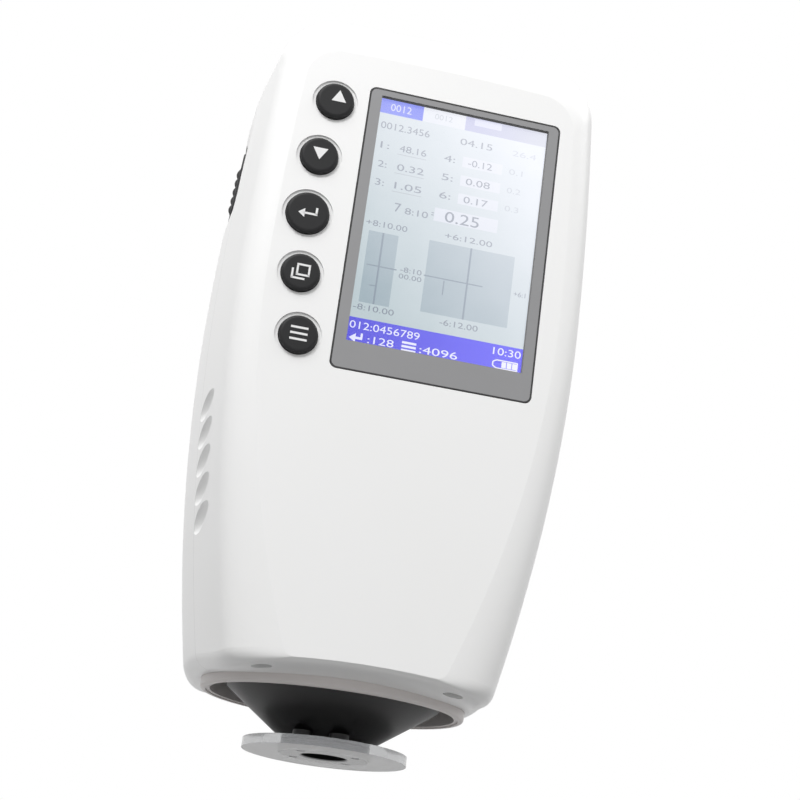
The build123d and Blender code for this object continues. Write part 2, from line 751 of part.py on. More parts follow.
# Side test button, square to the wall, from the outside to the inside
button = grown((button_width, button_length), -2 * (bezel_rim + button_gap))
with BuildPart() as button_bezel:
    block(button_plane, 0, (button_width, button_length), bezel_depth,
          corner=button_width / 2 - end_flat - fit_gap)
    block(button_plane, 0, grown(button, 2 * button_gap), bezel_depth, Mode.SUBTRACT,
          corner=button[0] / 2 + button_gap - end_flat / 2)
finish(button_bezel.part, "button_bezel")

with BuildPart() as test_button:
    block(button_plane, -button_proud, button, flange_back + button_proud,
          corner=(button[0] - end_flat) / 2)
    fillet(test_button.faces().sort_by(Axis.X)[0].edges(), button_edge)
    block(button_plane, flange_start, grown(button, 2 * button_flange), button_flange_thickness,
          corner=button[0] / 2)
    rib_rises = [rib_shift + (index - (rib_count - 1) / 2) * rib_pitch for index in range(rib_count)]
    with Locations(button_plane.offset(-button_proud)):
        with Locations(*[(0, rise) for rise in rib_rises]):
            Cylinder(rib_radius, button[0] - 2 * rib_inset, rotation=(0, 90, 0))
finish(test_button.part, "test_button")

with BuildPart() as test_switch:
    block(button_plane, switch_start + plunger_height, switch_size[1:], switch_size[0] - plunger_height)
    along(button_plane, switch_plunger, switch_start, switch_start + plunger_height)
finish(test_switch.part, "test_switch")

with BuildPart() as switch_board:
    block(button_plane, switch_start + switch_size[0], switch_board_size[1:], switch_board_size[0])
finish(switch_board.part, "switch_board")

# Battery, its contacts and its cover
with BuildPart() as battery_pack:
    slab(behind(bay_floor + battery_gap), [bay_centre],
         lambda: RectangleRounded(*battery_size[:2], battery_corner), -battery_size[2], Mode.ADD)
finish(battery_pack.part, "battery_pack")

with BuildPart() as battery_contacts:
    contact_height = bay_centre[1] + battery_size[1] / 2 - contact_inset
    contact_spots = [(step * contact_pitch, contact_height) for step in (-1, 0, 1)]
    slab(behind(bay_floor), contact_spots, lambda: Rectangle(*contact_size[:2]), -contact_size[2], Mode.ADD)
finish(battery_contacts.part, "battery_contacts")

with BuildPart() as battery_cover:
    slab(behind(housing_depth - cover_thickness), [bay_centre],
         lambda: RectangleRounded(*cover_size, cover_corner - cover_gap),
         -cover_thickness, Mode.ADD)
    grip_top = bay_centre[1] + cover_size[1] / 2 - grip_inset
    grips = [(0, grip_top - step * grip_pitch) for step in range(grip_count)]
    slab(behind(housing_depth - grip_depth), grips, lambda: SlotOverall(*grip_size), -2 * grip_depth,
         Mode.SUBTRACT)
finish(battery_cover.part, "battery_cover")

with BuildPart() as housing_screws:
    slab(behind(well_bottom), post_spots, lambda: Circle(screw_head), -screw_head_height, Mode.ADD)
    slab(behind(well_bottom), post_spots, lambda: Circle(screw_shank), well_floor + screw_bite, Mode.ADD)
    slab(behind(well_bottom + screw_head_height), post_spots, lambda: RegularPolygon(screw_head / 2, 6),
         screw_head_height / 2, Mode.SUBTRACT)
finish(housing_screws.part, "housing_screws")

# USB socket and power switch, in pockets of the right wall
with BuildPart() as usb_socket:
    block(socket_plane(usb_level), -usb_size[0], usb_size[1:], usb_size[0], corner=usb_corner)
    block(socket_plane(usb_level), -usb_mouth, grown(usb_size[1:], -2 * usb_wall), usb_mouth,
          Mode.SUBTRACT, corner=usb_corner - usb_wall / 2)
    block(socket_plane(usb_level), -usb_mouth, usb_tongue[1:], usb_tongue[0])
finish(usb_socket.part, "usb_socket")

power_back = -power_sunk - power_size[0]
channel = grown(slider_size, 2 * slider_gap)
with BuildPart() as power_switch:
    block(socket_plane(power_level), power_back, power_size[1:], power_size[0])
    block(socket_plane(power_level), power_back + power_floor, (channel[0], channel[1] + slider_travel),
          power_size[0], Mode.SUBTRACT)
finish(power_switch.part, "power_switch")

with BuildPart() as power_slider:
    slider_start = power_back + power_floor + slider_gap
    block(socket_plane(power_level - slider_travel / 2), slider_start, slider_size,
          slider_proud - slider_start)
    fillet(power_slider.faces().sort_by(Axis.X)[-1].edges(), slider_edge)
finish(power_slider.part, "power_slider")
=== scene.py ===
import json
from math import cos, pi, radians, sin, tan

import bmesh
import bpy
import numpy as np
from mathutils import Matrix, Vector


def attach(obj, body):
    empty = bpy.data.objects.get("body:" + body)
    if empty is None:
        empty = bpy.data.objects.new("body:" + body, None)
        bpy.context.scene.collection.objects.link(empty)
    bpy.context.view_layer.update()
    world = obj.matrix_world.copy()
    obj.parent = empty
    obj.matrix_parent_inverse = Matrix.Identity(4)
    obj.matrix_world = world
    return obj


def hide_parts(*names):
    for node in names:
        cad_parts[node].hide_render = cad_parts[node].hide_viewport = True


# Portable colorimeter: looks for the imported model. All lengths are metres.
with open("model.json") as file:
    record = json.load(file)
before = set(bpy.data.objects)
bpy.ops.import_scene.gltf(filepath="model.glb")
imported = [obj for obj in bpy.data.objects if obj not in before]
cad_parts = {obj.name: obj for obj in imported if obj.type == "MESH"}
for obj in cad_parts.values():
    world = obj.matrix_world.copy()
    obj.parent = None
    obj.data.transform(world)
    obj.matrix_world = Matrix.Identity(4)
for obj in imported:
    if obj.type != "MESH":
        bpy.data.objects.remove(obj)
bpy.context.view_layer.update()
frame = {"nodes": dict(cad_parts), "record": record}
scene = bpy.context.scene
scene.view_settings.view_transform = "Standard"
mm = 0.001
print("frame loaded:", len(frame["nodes"]), "nodes")


# Shader sums
class Wire:
    # one socket of a material's nodes; a sum of wires and numbers adds its Math nodes
    def __init__(self, tree, socket=None):
        self.tree = tree
        self.socket = socket

    def node(self, kind, settings=None, values=None, output=0):
        # adds a node of this type: settings first, then the values or links of its sockets
        made = self.tree.nodes.new(kind)
        for name, value in (settings or {}).items():
            setattr(made, name, value)
        for name, value in (values or {}).items():
            if isinstance(value, Wire):
                self.tree.links.new(value.socket, made.inputs[name])
            else:
                made.inputs[name].default_value = value
        return Wire(self.tree, made.outputs[output] if made.outputs else None)

    def maths(self, operation, *values, clamp=False):
        settings = {"operation": operation, "use_clamp": clamp}
        return self.node("ShaderNodeMath", settings, dict(enumerate(values)))

    def __add__(self, other):
        return self.maths("ADD", self, other)

    def __radd__(self, other):
        return self.maths("ADD", other, self)

    def __sub__(self, other):
        return self.maths("SUBTRACT", self, other)

    def __rsub__(self, other):
        return self.maths("SUBTRACT", other, self)

    def __mul__(self, other):
        return self.maths("MULTIPLY", self, other)

    def __rmul__(self, other):
        return self.maths("MULTIPLY", other, self)

    def __pow__(self, other):
        return self.maths("POWER", self, other)

    def __gt__(self, other):
        return self.maths("GREATER_THAN", self, other)

    def __lt__(self, other):
        return self.maths("LESS_THAN", self, other)

    def __abs__(self):
        return self.maths("ABSOLUTE", self)


def paint(red, green, blue, alpha=1.0):
    # a colour as it shows on the screen, 0 to 255, turned into linear light
    shown = np.array([red, green, blue]) / 255
    linear = np.where(shown < 0.04045, shown / 12.92, ((shown + 0.055) / 1.055) ** 2.4)
    return (*[float(part) for part in linear], alpha)


def newMaterial(name):
    # an empty material and the wire that its nodes are added through
    material = bpy.data.materials.new(name)
    material.use_nodes = True
    material.node_tree.nodes.clear()
    return material, Wire(material.node_tree)


def objectPlace(start):
    # the object coordinates, in metres, as one vector
    return start.node("ShaderNodeTexCoord", output="Object")


def coordinates(start):
    # that vector and its three parts
    place = objectPlace(start)
    parts = [start.node("ShaderNodeSeparateXYZ", values={0: place}, output=axis) for axis in "XYZ"]
    return place, *parts


def noise(start, place, size, detail=2.0, rough=0.5):
    # soft noise with features about this long
    values = {"Vector": place, "Scale": 1 / size, "Detail": detail, "Roughness": rough}
    return start.node("ShaderNodeTexNoise", values=values)


def mixColour(start, factor, first, second):
    # first colour where the factor is 0, second where it is 1
    settings = {"data_type": "RGBA"}
    return start.node("ShaderNodeMix", settings, {0: factor, 6: first, 7: second}, output=2)


def mixShader(start, factor, first, second):
    # first shader where the factor is 0, second where it is 1
    return start.node("ShaderNodeMixShader", values={0: factor, 1: first, 2: second})


def bump(start, height, depth):
    # a normal from a height of 0 to 1 over this depth
    return start.node("ShaderNodeBump", values={"Height": height, "Distance": depth})


def smoothStep(start, value, low, high):
    # 0 below the low end, 1 above the high end and a soft S between them
    settings = {"interpolation_type": "SMOOTHSTEP"}
    return start.node("ShaderNodeMapRange", settings, {"Value": value, "From Min": low, "From Max": high})


def principled(start, values):
    return start.node("ShaderNodeBsdfPrincipled", values=values)


def output(start, shader):
    start.node("ShaderNodeOutputMaterial", values={"Surface": shader})


# The front face, which leans forward
face = {"lean": radians(3.6), "foot": -50.0 * mm}


def onFace(across, upward, proud):
    # point = foot of the face + across * right + upward * up the face + proud * out of it
    across, upward, proud = np.broadcast_arrays(across, upward, proud)
    y = face["foot"] - upward * sin(face["lean"]) - proud * cos(face["lean"])
    z = upward * cos(face["lean"]) - proud * sin(face["lean"])
    return np.stack([across, y, z], axis=-1)


def upFace(level):
    # a level above the floor, measured up the front face
    return level / cos(face["lean"])


def faceCoordinates(start):
    # the same two measures, across and up the face, as wires
    place, x, y, z = coordinates(start)
    upward = (face["foot"] - y) * sin(face["lean"]) + z * cos(face["lean"])
    return place, x, upward


# Meshes from arrays
def putMesh(name, points, faces, smooth=False):
    # a mesh object at the origin, from points in metres and faces as lists of their numbers
    mesh = bpy.data.meshes.new(name)
    mesh.from_pydata(points.reshape(-1, 3).tolist(), [], faces)
    mesh.validate()
    mesh.polygons.foreach_set("use_smooth", np.full(len(mesh.polygons), smooth))
    mesh.update()
    made = bpy.data.objects.new(name, mesh)
    scene.collection.objects.link(made)
    return made


def slab(outline):
    # a closed plate over an outline: its corners at 0 and at 1, a face at both ends and one to each side
    outline = np.asarray(outline, float)
    after = np.roll(outline, -1, axis=0)
    if np.sum(outline[:, 0] * after[:, 1] - outline[:, 1] * after[:, 0]) < 0:
        outline = outline[::-1]
    count = len(outline)
    here = np.arange(count)
    after = np.roll(here, -1)
    points = np.concatenate([np.column_stack([outline, np.full(count, level)]) for level in (0.0, 1.0)])
    faces = np.stack([here, after, after + count, here + count], axis=1).tolist()
    return points, faces + [here[::-1].tolist(), (here + count).tolist()]


font = {"extrude": 0.5, "curveSteps": 4, "decimals": 5}


def figures(words, left, right, middle, height):
    # figures of the built-in font as closed plates: each point = left and bottom corner + its share of the
    # figures' own box * the width and the height that they fill
    data = bpy.data.curves.new("figures", "FONT")
    data.body = words
    data.extrude = font["extrude"]
    data.resolution_u = font["curveSteps"]
    mesh = bpy.data.meshes.new_from_object(bpy.data.objects.new("figures", data))
    points = np.empty(3 * len(mesh.vertices))
    mesh.vertices.foreach_get("co", points)
    points, place = np.unique(points.reshape(-1, 3).round(font["decimals"]), axis=0, return_inverse=True)
    faces = [place[list(polygon.vertices)].ravel().tolist() for polygon in mesh.polygons]
    low, high = points.min(axis=0), points.max(axis=0)
    points = (points - low) / (high - low)
    return points * (right - left, height, 1) + (left, middle - height / 2, 0), faces


def layer(name, solids, centre, low, high):
    # plates and figures, in millimetres from a centre on the front face: each point's third measure,
    # 0 or 1, becomes how proud it stands, low or high
    starts = np.cumsum([0] + [len(points) for points, faces in solids])
    points = np.concatenate([points for points, faces in solids])
    faces = []
    for start, (corners, sides) in zip(starts.tolist(), solids):
        faces += [[start + corner for corner in side] for side in sides]
    across, upward = centre[0] + points[:, 0] * mm, centre[1] + points[:, 1] * mm
    return putMesh(name, onFace(across, upward, low + (high - low) * points[:, 2]), faces)


def box(left, right, bottom, top):
    # the four corners of a rectangle
    return np.array([(left, bottom), (right, bottom), (right, top), (left, top)])


def bar(start, end, thickness):
    # a straight stroke of this thickness from one point to another
    start, end = np.array(start, float), np.array(end, float)
    along = (end - start) / np.linalg.norm(end - start)
    aside = np.array([-along[1], along[0]]) * thickness / 2
    return np.array([start - aside, end - aside, end + aside, start + aside])


def wear(made, material, body="housing"):
    # gives a new piece its material and its body
    made.data.materials.clear()
    made.data.materials.append(material)
    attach(made, body)
    return made


# Camera
view = {"place": (-62.70 * mm, -423.80 * mm, -52.23 * mm), "heading": 9.597, "rise": 20.606, "roll": 7.123,
        "lens": 67.5, "sensor": 36.0, "nearest": 10 * mm}


def makeCamera():
    # looks along +Y, turned right by the heading and up by the rise, then rolled about its own axis
    data = bpy.data.cameras.new("camera")
    data.lens = view["lens"]
    data.sensor_width = view["sensor"]
    data.clip_start = view["nearest"]
    made = bpy.data.objects.new("camera", data)
    turn = Matrix.Rotation(-radians(view["heading"]), 4, "Z")
    turn = turn @ Matrix.Rotation(radians(90 + view["rise"]), 4, "X")
    turn = turn @ Matrix.Rotation(radians(view["roll"]), 4, "Z")
    made.matrix_world = Matrix.Translation(view["place"]) @ turn
    scene.collection.objects.link(made)
    scene.camera = made


makeCamera()
print("camera in place")


# Studio: pale floor, white surround and soft lamps
studio = {"floorSize": 6.0, "floorDrop": 0.4 * mm, "floorFade": (0.25, 1.3), "contact": 30 * mm,
          "floorColour": (0.86, 0.86, 0.86, 1), "floorGrain": 4 * mm, "floorRough": 0.7, "roughGrain": 0.1,
          "surround": 0.45, "lift": 0.16, "aim": (0, 0, 0.12),
          "lamps": {"keyLamp": ((-0.34, -0.66, 0.86), 0.7, 9.9), "leftLamp": ((-0.55, -0.12, 0.78), 0.5, 0.7),
                    "rightLamp": ((0.75, -0.24, 0.80), 0.6, 3.0), "topLamp": ((0.0, 0.45, 1.20), 0.8, 2.4)}}


def seenRay(start, least=-1.0):
    # 1 for what the camera, a mirror or a clear piece sees; for the last two only past a least length,
    # which is any length where it isn't given
    camera, glossy, through, length = [start.node("ShaderNodeLightPath", output=kind) for kind in (
        "Is Camera Ray", "Is Glossy Ray", "Is Transmission Ray", "Ray Length")]
    return start.maths("MAXIMUM", camera, start.maths("MAXIMUM", glossy, through) * (length > least))


def makeWorld():
    # 1, white, for the rays that are seen, and for the others surround + lift * how far up they point
    world = bpy.data.worlds.new("surround")
    world.use_nodes = True
    world.node_tree.nodes.clear()
    start = Wire(world.node_tree)
    place = start.node("ShaderNodeTexCoord", output="Generated")
    height = start.node("ShaderNodeSeparateXYZ", values={0: place}, output="Z")
    light = studio["surround"] + height * studio["lift"]
    seen = seenRay(start)
    strength = seen + light * (1 - seen)
    made = start.node("ShaderNodeBackground", values={"Color": (1, 1, 1, 1), "Strength": strength})
    start.node("ShaderNodeOutputWorld", values={"Surface": made})
    scene.world = world


def makeFloor():
    # a flat square just under the part, seen only from above, that fades into the white a step away
    half = studio["floorSize"] / 2
    corners = np.array([(-half, -half), (half, -half), (half, half), (-half, half)])
    points = np.column_stack([corners, np.full(4, -studio["floorDrop"])])
    floor = putMesh("floor", points, [[0, 1, 2, 3]])
    material, start = newMaterial("paleFloor")
    place, x, y, z = coordinates(start)
    grain = noise(start, place, studio["floorGrain"])
    near = 1 - smoothStep(start, (x * x + y * y) ** 0.5, *studio["floorFade"])
    above = 1 - start.node("ShaderNodeNewGeometry", output="Backfacing")
    rough = studio["floorRough"] + studio["roughGrain"] * grain
    paper = principled(start, {"Base Color": studio["floorColour"], "Roughness": rough})
    through = start.node("ShaderNodeBsdfTransparent")
    factor = seenRay(start, studio["contact"]) * above * near
    output(start, mixShader(start, factor, through, paper))
    floor.data.materials.append(material)


def makeLamp(name, place, aim, size, power):
    # a square soft lamp at a place, turned to face a point
    data = bpy.data.lights.new(name, "AREA")
    data.size = size
    data.energy = power
    made = bpy.data.objects.new(name, data)
    made.location = place
    made.rotation_euler = (Vector(aim) - Vector(place)).to_track_quat("-Z", "Y").to_euler()
    scene.collection.objects.link(made)


def makeStudio():
    makeWorld()
    makeFloor()
    for name, (place, size, power) in studio["lamps"].items():
        makeLamp(name, place, studio["aim"], size, power)


makeStudio()
print("studio lit")


# Finishes: each roughness is a plain one + a share of the grain
housing = {"colour": paint(244, 244, 244), "warm": paint(242, 242, 241), "cloud": 40 * mm,
           "grain": 0.45 * mm, "grainDepth": 0.006 * mm, "rough": 0.36, "roughGrain": 0.08,
           "index": 1.5, "coat": 0.12, "coatRough": 0.25,
           "seamBehind": 33.0 * mm, "seamWidth": 0.12 * mm,
           "seamColour": paint(120, 120, 118), "seamShare": 0.35}


def housingFinish():
    # satin white moulded plastic with a fine spark-eroded grain, and a hairline where the shells meet, which
    # is where a point's depth behind the leaning face is within the seam's width of the seam's depth
    material, start = newMaterial("whiteHousing")
    place, x, y, z = coordinates(start)
    grain = noise(start, place, housing["grain"], 3.0)
    cloud = noise(start, place, housing["cloud"], 1.0)
    behind = (y - face["foot"]) * cos(face["lean"]) + z * sin(face["lean"]) - housing["seamBehind"]
    seam = abs(behind) < housing["seamWidth"]
    colour = mixColour(start, cloud, housing["colour"], housing["warm"])
    colour = mixColour(start, seam * housing["seamShare"], colour, housing["seamColour"])
    values = {"Base Color": colour, "Roughness": housing["rough"] + housing["roughGrain"] * grain,
              "IOR": housing["index"], "Coat Weight": housing["coat"], "Coat Roughness": housing["coatRough"],
              "Normal": bump(start, grain, housing["grainDepth"])}
    output(start, principled(start, values))
    return material


ring = {"colour": paint(226, 221, 219), "warm": paint(218, 213, 211), "cloud": 6 * mm,
        "grain": 0.3 * mm, "grainDepth": 0.005 * mm, "rough": 0.42, "roughGrain": 0.1}


def ringFinish():
    # pale grey moulded plastic, a little rougher than the housing
    material, start = newMaterial("skirtGrey")
    place = objectPlace(start)
    grain = noise(start, place, ring["grain"], 3.0)
    cloud = noise(start, place, ring["cloud"])
    values = {"Base Color": mixColour(start, cloud, ring["colour"], ring["warm"]),
              "Roughness": ring["rough"] + ring["roughGrain"] * grain,
              "Normal": bump(start, grain, ring["grainDepth"])}
    output(start, principled(start, values))
    return material


black = {"cloud": 8 * mm, "lighter": 1.3, "roughGrain": 0.12}


def mattBlack(name, colour, grainSize, grainDepth, rough, shine=0.5):
    # black moulded plastic: grain in the normal and in the roughness, soft lighter clouds in the colour
    material, start = newMaterial(name)
    place = objectPlace(start)
    grain = noise(start, place, grainSize, 3.0)
    cloud = noise(start, place, black["cloud"])
    lighter = tuple(min(1.0, part * black["lighter"]) for part in colour[:3]) + (1.0,)
    values = {"Base Color": mixColour(start, cloud, colour, lighter), "Specular IOR Level": shine,
              "Roughness": rough + black["roughGrain"] * grain, "Normal": bump(start, grain, grainDepth)}
    output(start, principled(start, values))
    return material


clear = {"cloud": 3 * mm, "roughGrain": 0.05, "under": 0.02 * mm, "dull": (0.2, 0.2, 0.2, 1),
         "dullRough": 0.6, "dullGrain": 0.1}


def clearFinish(name, tint, rough, index, grey=0.0):
    # clear plastic or glass, faintly cloudy, with a share of plain grey mixed in on its underside
    material, start = newMaterial(name)
    place, x, y, z = coordinates(start)
    cloud = noise(start, place, clear["cloud"])
    body = principled(start, {"Base Color": tint, "Roughness": rough + clear["roughGrain"] * cloud,
                              "Transmission Weight": 1.0, "IOR": index})
    dull = principled(start, {"Base Color": clear["dull"],
                              "Roughness": clear["dullRough"] + clear["dullGrain"] * cloud})
    output(start, mixShader(start, (z < clear["under"]) * grey, body, dull))
    return material


metal = {"marks": 0.4 * mm, "roughGrain": 0.15, "depth": 0.003 * mm}


def metalFinish(name, colour, rough):
    # machined or plated metal with fine marks in the roughness
    material, start = newMaterial(name)
    place = objectPlace(start)
    marks = noise(start, place, metal["marks"], 4.0, 0.7)
    values = {"Base Color": colour, "Metallic": 1.0, "Roughness": rough + metal["roughGrain"] * marks,
              "Normal": bump(start, marks, metal["depth"])}
    output(start, principled(start, values))
    return material


# black: painted shade inside a bore, so that the hole reads dark
turned = {"roughGrain": 0.1, "depth": 0.002 * mm, "shine": 0.05, "foot": 0.5 * mm,
          "black": (0.01, 0.01, 0.01, 1)}


def turnedFinish(name, colour, rough, pitch=0.16 * mm, bore=0.0, under=1.0):
    # turned metal: the sine of the distance from the vertical axis + the height gives fine rings. Below the
    # foot's level it is painted, darker by a share, and inside its bore it is black, painted shade for the
    # hole
    material, start = newMaterial(name)
    place, x, y, z = coordinates(start)
    radius = (x * x + y * y) ** 0.5
    rings = 0.5 + 0.5 * start.maths("SINE", radius * (2 * pi / pitch) + z * (2 * pi / pitch))
    outside = radius > bore
    bare = 1 if under == 1 else z > turned["foot"]
    darker = tuple(part * under for part in colour[:3]) + (1.0,)
    surface = mixColour(start, bare, darker, colour)
    # inside the bore the colour is black, painted shade for the dark hole
    values = {"Base Color": mixColour(start, outside, turned["black"], surface), "Metallic": outside * bare,
              "Roughness": rough + turned["roughGrain"] * rings, "Specular IOR Level": turned["shine"],
              "Normal": bump(start, rings, turned["depth"])}
    output(start, principled(start, values))
    return material


board = {"mask": paint(20, 92, 52), "track": paint(58, 130, 76), "trackShare": 0.6, "spacing": 2.2 * mm,
         "width": 0.08, "depth": 0.02 * mm, "cloud": 1 * mm, "rough": 0.3, "roughGrain": 0.1, "coat": 0.4}


def boardFinish():
    # green board: copper tracks show under the mask along the edges of square cells
    material, start = newMaterial("boardGreen")
    place = objectPlace(start)
    cells = start.node("ShaderNodeTexVoronoi", {"distance": "MANHATTAN", "feature": "DISTANCE_TO_EDGE"},
                       {"Vector": place, "Scale": 1 / board["spacing"]})
    track = cells < board["width"]
    rough = board["rough"] + board["roughGrain"] * noise(start, place, board["cloud"])
    values = {"Base Color": mixColour(start, track * board["trackShare"], board["mask"], board["track"]),
              "Roughness": rough, "Coat Weight": board["coat"], "Normal": bump(start, track, board["depth"])}
    output(start, principled(start, values))
    return material


plain = {"darker": 0.9, "roughGrain": 0.1, "depth": 0.01 * mm}


def plainFinish(name, colour, rough, grainSize):
    # any other plastic, foam or film
    material, start = newMaterial(name)
    place = objectPlace(start)
    grain = noise(start, place, grainSize, 3.0)
    darker = tuple(part * plain["darker"] for part in colour[:3]) + (1.0,)
    values = {"Base Color": mixColour(start, grain, colour, darker),
              "Roughness": rough + plain["roughGrain"] * grain, "Normal": bump(start, grain, plain["depth"])}
    output(start, principled(start, values))
    return material


window = {"centre": (7.3 * mm, 135.6 * mm), "size": (55.6 * mm, 83.6 * mm), "radius": 2.0 * mm,
          "border": paint(139, 139, 140), "cloudy": paint(143, 143, 145), "cloud": 12 * mm,
          "line": paint(22, 22, 24), "lineWidth": 0.34 * mm, "rough": 0.3, "roughGrain": 0.05,
          "coat": 0.5, "coatRough": 0.05, "sheen": 0.04, "sheenRough": 0.03}
display = {"shift": (0.1 * mm, 3.1 * mm), "size": (48.96 * mm, 73.44 * mm), "corner": 0.01 * mm,
           "front": 1.50 * mm}
windowCentre = np.array([window["centre"][0], upFace(window["centre"][1])])
displayCentre = windowCentre + display["shift"]


def roundedDistance(start, x, y, centre, size, radius):
    # distance to a rounded rectangle: past-the-corner offsets under a root, less the radius
    outX = start.maths("MAXIMUM", abs(x - float(centre[0])) - (size[0] / 2 - radius), 0)
    outY = start.maths("MAXIMUM", abs(y - float(centre[1])) - (size[1] / 2 - radius), 0)
    return (outX * outX + outY * outY) ** 0.5 - radius


def windowFinish():
    # clear over the display, printed grey round it, with a black line at the very edge
    material, start = newMaterial("windowGlass")
    place, x, upward = faceCoordinates(start)
    edge = roundedDistance(start, x, upward, windowCentre, window["size"], window["radius"])
    inside = roundedDistance(start, x, upward, displayCentre, display["size"], display["corner"])
    cloud = noise(start, place, window["cloud"])
    grey = mixColour(start, cloud, window["border"], window["cloudy"])
    printed = mixColour(start, edge > -window["lineWidth"], grey, window["line"])
    rough = window["rough"] + window["roughGrain"] * cloud
    border = principled(start, {"Base Color": printed, "Roughness": rough, "Coat Weight": window["coat"],
                                "Coat Roughness": window["coatRough"]})
    values = {"Color": (1, 1, 1, 1), "Roughness": window["sheenRough"]}
    gloss = start.node("ShaderNodeBsdfGlossy", values=values)
    through = start.node("ShaderNodeBsdfTransparent")
    pane = mixShader(start, window["sheen"], through, gloss)
    output(start, mixShader(start, inside > 0, pane, border))
    return material


print("finishes defined")

slotFinish = {
    "housing_white": housingFinish(),
    "skirt_grey": ringFinish(),
    "nose_black": mattBlack("noseBlack", paint(12, 11, 12), 0.35 * mm, 0.01 * mm, 0.36, 0.3),
    "clear_disc": clearFinish("clearDisc", (0.50, 0.505, 0.51, 1), 0.05, 1.40, 0.5),
    "hub_metal": turnedFinish("hubMetal", (0.90, 0.90, 0.91, 1), 0.22, bore=6.6 * mm, under=0.5),
    "screw_steel": metalFinish("screwSteel", (0.90, 0.90, 0.90, 1), 0.2),
    "screw_black": metalFinish("screwBlack", (0.06, 0.06, 0.06, 1), 0.35),
    "window_glass": windowFinish(),
    "gasket_foam": plainFinish("gasketFoam", paint(38, 38, 38), 0.85, 0.3 * mm),
    "display_panel": plainFinish("displayPanel", paint(60, 62, 66), 0.25, 2 * mm),
    "frame_metal": metalFinish("frameMetal", (0.60, 0.60, 0.61, 1), 0.32),
    "board_green": boardFinish(),
    "dome_steel": metalFinish("domeSteel", (0.75, 0.75, 0.74, 1), 0.22),
    "switch_black": mattBlack("switchBlack", paint(34, 34, 35), 0.3 * mm, 0.008 * mm, 0.45),
    "button_black": mattBlack("buttonBlack", paint(22, 22, 23), 0.3 * mm, 0.01 * mm, 0.45, 0.3),
    "key_black": mattBlack("keyBlack", paint(33, 33, 34), 0.25 * mm, 0.008 * mm, 0.42, 0.2),
    "socket_metal": metalFinish("socketMetal", (0.65, 0.65, 0.66, 1), 0.28),
    "battery_grey": plainFinish("batteryGrey", paint(78, 82, 86), 0.45, 1.5 * mm),
    "contact_brass": metalFinish("contactBrass", (0.76, 0.60, 0.28, 1), 0.25),
    "sphere_metal": turnedFinish("sphereMetal", (0.62, 0.63, 0.64, 1), 0.34, 0.3 * mm),
    "lens_glass": clearFinish("lensGlass", (0.95, 0.97, 0.97, 1), 0.02, 1.52),
    "lamp_metal": metalFinish("lampMetal", (0.12, 0.12, 0.13, 1), 0.35),
}
nodeSlot = {part["node"]: part["material_slot"] for part in frame["record"]["subparts"]}
for name, made in frame["nodes"].items():
    made.data.materials.clear()
    made.data.materials.append(slotFinish[nodeSlot[name]])
print("nodes dressed")

# Rear housing: the rear shell with the shallow dish that the test button sits in
dish = {"face": -50.1 * mm, "level": 165.0 * mm, "tilt": radians(3.1), "step": 1.5 * mm,
        "front": (-27.0 * mm, -21.0 * mm), "back": (5.0 * mm, 13.0 * mm), "outside": -45.0 * mm,
        "foot": (147.5 * mm, 156.0 * mm), "top": (171.0 * mm, 184.0 * mm),
        "crease": radians(28), "weld": 0.001 * mm, "touch": 0.0001 * mm}


def soft(value, ends):
    # 0 below the first end, 1 above the second and a soft S between them
    share = np.clip((value - ends[0]) / (ends[1] - ends[0]), 0, 1)
    return share * share * (3 - 2 * share)


def gridCut(form, ends, axis):
    # cuts the left wall's faces by evenly spaced planes square to an axis, so that the wall can bend there
    normal = Vector([float(axis == side) for side in range(3)])
    near = [(1, dish["front"][0], dish["back"][1]), (2, dish["foot"][0], dish["top"][1])]
    for place in np.arange(ends[0], ends[1] + dish["step"] / 2, dish["step"]):
        facets = [facet for facet in form.faces
                  if max(corner.co.x for corner in facet.verts) < dish["outside"]
                  and all(min(corner.co[side] for corner in facet.verts) <= high for side, low, high in near)
                  and all(max(corner.co[side] for corner in facet.verts) >= low for side, low, high in near)]
        parts = facets + list({edge for facet in facets for edge in facet.edges})
        parts += list({corner for facet in facets for corner in facet.verts})
        point = normal * float(place)
        bmesh.ops.bisect_plane(form, geom=parts, dist=dish["touch"], plane_co=point, plane_no=normal)


def rearHousing():
    # new x = x + share * what is missing to the button's own plane, where the share falls softly to
    # 0 round the button: ahead of it, behind it, under it and over it
    form = bmesh.new()
    form.from_mesh(frame["nodes"]["rear_shell"].data)
    bmesh.ops.remove_doubles(form, verts=form.verts, dist=dish["weld"])
    gridCut(form, (dish["front"][0], dish["back"][1]), 1)
    gridCut(form, (dish["foot"][0], dish["top"][1]), 2)
    mesh = bpy.data.meshes.new("rear_housing")
    form.to_mesh(mesh)
    form.free()
    points = np.empty(3 * len(mesh.vertices))
    mesh.vertices.foreach_get("co", points)
    x, y, z = points.reshape(-1, 3).T
    plane = dish["face"] + (z - dish["level"]) * tan(dish["tilt"])
    share = soft(y, dish["front"]) * (1 - soft(y, dish["back"]))
    share = share * soft(z, dish["foot"]) * (1 - soft(z, dish["top"]))
    moved = np.where(x < dish["outside"], x + share * np.maximum(0, plane - x), x)
    mesh.vertices.foreach_set("co", np.column_stack([moved, y, z]).ravel())
    mesh.polygons.foreach_set("use_smooth", np.full(len(mesh.polygons), True))
    mesh.set_sharp_from_angle(angle=dish["crease"])
    made = bpy.data.objects.new("rear_housing", mesh)
    scene.collection.objects.link(made)
    wear(made, slotFinish["housing_white"])
    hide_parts("rear_shell")


rearHousing()
print("rear housing dished")


